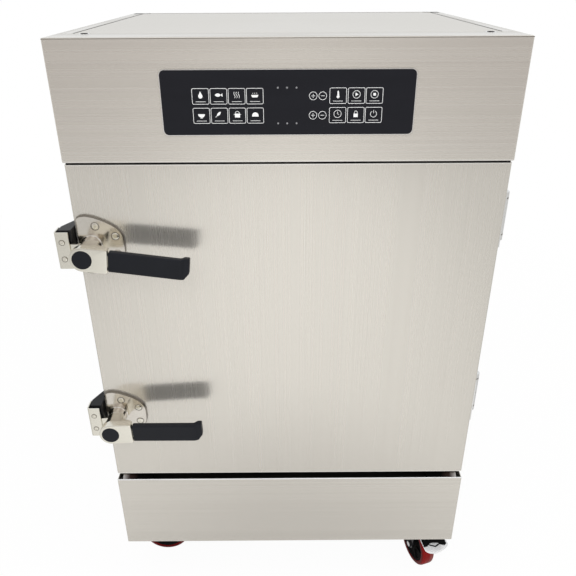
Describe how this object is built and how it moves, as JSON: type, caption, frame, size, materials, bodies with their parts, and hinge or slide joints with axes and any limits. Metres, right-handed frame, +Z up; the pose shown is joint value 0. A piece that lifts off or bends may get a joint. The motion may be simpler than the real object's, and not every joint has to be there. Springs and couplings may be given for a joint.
{
  "type": "steamer cabinet",
  "caption": "Electric steam cabinet on castors with a touch-panel fascia, a latched side-hung door, tray racks and a water tank below the chamber.",
  "frame": {"origin": "on the floor under the middle of the whole outline", "axes": "+Z up, door faces -Y, hinges on the +X side"},
  "size_m": [0.7442, 0.7217, 1.137],
  "materials": {
    "brushed_steel": "brushed",
    "satin_nickel": "satin",
    "chrome": "polished",
    "black_plastic": "matte",
    "black_paint": "satin",
    "touch_face": "gloss",
    "red_tyre": "satin",
    "red_coating": "gloss",
    "grey_rubber": "matte",
    "foam": "matte",
    "circuit_board": "satin",
    "brass": "satin"
  },
  "bodies": {
    "cabinet": {"side_panel_left": "brushed_steel", "side_panel_right": "brushed_steel", "back_panel": "brushed_steel", "top_panel": "brushed_steel", "base_frame": "brushed_steel", "plinth_panel": "brushed_steel", "drip_trough": "brushed_steel", "control_fascia": "brushed_steel", "touch_panel": "touch_face", "control_board": "circuit_board", "chamber_liner": "brushed_steel", "insulation_jacket": "foam", "rack_left": "brushed_steel", "rack_right": "brushed_steel", "water_tank": "brushed_steel", "heating_element": "chrome", "steam_baffle": "brushed_steel", "steam_vent": "brushed_steel", "drain_valve": "brass", "feed_valve": "black_plastic", "cable_gland": "black_plastic", "hinge_leaf_upper": "satin_nickel", "hinge_leaf_lower": "satin_nickel", "keeper_block_upper": "black_plastic", "keeper_block_lower": "black_plastic", "keeper_plate_upper": "satin_nickel", "keeper_plate_lower": "satin_nickel", "castor_plate_front_left": "chrome", "castor_plate_front_right": "chrome", "castor_plate_rear_left": "chrome", "castor_plate_rear_right": "chrome"},
    "door": {"door_skin": "brushed_steel", "door_insulation": "foam", "door_inner_pan": "brushed_steel", "door_gasket": "grey_rubber", "hinge_knuckle_upper": "satin_nickel", "hinge_knuckle_lower": "satin_nickel", "latch_base_upper": "satin_nickel", "latch_base_lower": "satin_nickel"},
    "upper_lever": {"lever_upper": "satin_nickel", "grip_upper": "black_plastic", "cap_upper": "black_plastic"},
    "lower_lever": {"lever_lower": "satin_nickel", "grip_lower": "black_plastic", "cap_lower": "black_plastic"},
    "drain_lever": {"drain_handle": "red_coating"},
    "tray_1_body": {"tray_1": "brushed_steel"},
    "tray_2_body": {"tray_2": "brushed_steel"},
    "tray_3_body": {"tray_3": "brushed_steel"},
    "tray_4_body": {"tray_4": "brushed_steel"},
    "front_left_swivel": {"fork_front_left": "black_paint"},
    "front_left_wheel": {"wheel_front_left": "red_tyre"},
    "front_left_brake": {"pedal_front_left": "chrome"},
    "front_right_swivel": {"fork_front_right": "black_paint"},
    "front_right_wheel": {"wheel_front_right": "red_tyre"},
    "front_right_brake": {"pedal_front_right": "chrome"},
    "rear_left_swivel": {"fork_rear_left": "black_paint"},
    "rear_left_wheel": {"wheel_rear_left": "red_tyre"},
    "rear_right_swivel": {"fork_rear_right": "black_paint"},
    "rear_right_wheel": {"wheel_rear_right": "red_tyre"}
  },
  "joints": [
    {"name": "door_hinge", "type": "hinge", "parent": "cabinet", "child": "door", "pos_m": [0.36, -0.248, 0.6665], "axis": [0, 0, 1], "range_deg": [0, 165]},
    {"name": "upper_lever_turn", "type": "hinge", "parent": "door", "child": "upper_lever", "pos_m": [-0.3238, -0.2915, 0.819], "axis": [0, -1, 0], "range_deg": [0, 90]},
    {"name": "lower_lever_turn", "type": "hinge", "parent": "door", "child": "lower_lever", "pos_m": [-0.3262, -0.2915, 0.4692], "axis": [0, -1, 0], "range_deg": [0, 90]},
    {"name": "drain_lever_turn", "type": "hinge", "parent": "cabinet", "child": "drain_lever", "pos_m": [0.17, 0.333, 0.236], "axis": [0, 0, 1], "range_deg": [0, 90]},
    {"name": "tray_1_slide", "type": "slide", "parent": "cabinet", "child": "tray_1_body", "axis": [0, -1, 0], "range_m": [0, 0.03]},
    {"name": "tray_2_slide", "type": "slide", "parent": "cabinet", "child": "tray_2_body", "axis": [0, -1, 0], "range_m": [0, 0.03]},
    {"name": "tray_3_slide", "type": "slide", "parent": "cabinet", "child": "tray_3_body", "axis": [0, -1, 0], "range_m": [0, 0.03]},
    {"name": "tray_4_slide", "type": "slide", "parent": "cabinet", "child": "tray_4_body", "axis": [0, -1, 0], "range_m": [0, 0.03]},
    {"name": "front_left_swivel_turn", "type": "hinge", "parent": "cabinet", "child": "front_left_swivel", "pos_m": [-0.3165, -0.1978, 0.11], "axis": [0, 0, 1], "continuous": true},
    {"name": "front_left_wheel_roll", "type": "hinge", "parent": "front_left_swivel", "child": "front_left_wheel", "pos_m": [-0.2885, -0.19731, 0.05], "axis": [-0.0175, 0.9998, 0], "continuous": true},
    {"name": "front_left_brake_press", "type": "hinge", "parent": "front_left_swivel", "child": "front_left_brake", "pos_m": [-0.27051, -0.197, 0.1005], "axis": [-0.0175, 0.9998, 0], "range_deg": [0, 9]},
    {"name": "front_right_swivel_turn", "type": "hinge", "parent": "cabinet", "child": "front_right_swivel", "pos_m": [0.2859, -0.2112, 0.11], "axis": [0, 0, 1], "continuous": true},
    {"name": "front_right_wheel_roll", "type": "hinge", "parent": "front_right_swivel", "child": "front_right_wheel", "pos_m": [0.29492, -0.23771, 0.05], "axis": [0.9466, 0.3223, 0], "continuous": true},
    {"name": "front_right_brake_press", "type": "hinge", "parent": "front_right_swivel", "child": "front_right_brake", "pos_m": [0.30072, -0.25475, 0.1005], "axis": [0.9466, 0.3223, 0], "range_deg": [0, 9]},
    {"name": "rear_left_swivel_turn", "type": "hinge", "parent": "cabinet", "child": "rear_left_swivel", "pos_m": [-0.315, 0.231, 0.11], "axis": [0, 0, 1], "continuous": true},
    {"name": "rear_left_wheel_roll", "type": "hinge", "parent": "rear_left_swivel", "child": "rear_left_wheel", "pos_m": [-0.30542, 0.25731, 0.05], "axis": [-0.9397, 0.342, 0], "continuous": true},
    {"name": "rear_right_swivel_turn", "type": "hinge", "parent": "cabinet", "child": "rear_right_swivel", "pos_m": [0.315, 0.231, 0.11], "axis": [0, 0, 1], "continuous": true},
    {"name": "rear_right_wheel_roll", "type": "hinge", "parent": "rear_right_swivel", "child": "rear_right_wheel", "pos_m": [0.30775, 0.25805, 0.05], "axis": [-0.9659, -0.2588, 0], "continuous": true}
  ]
}
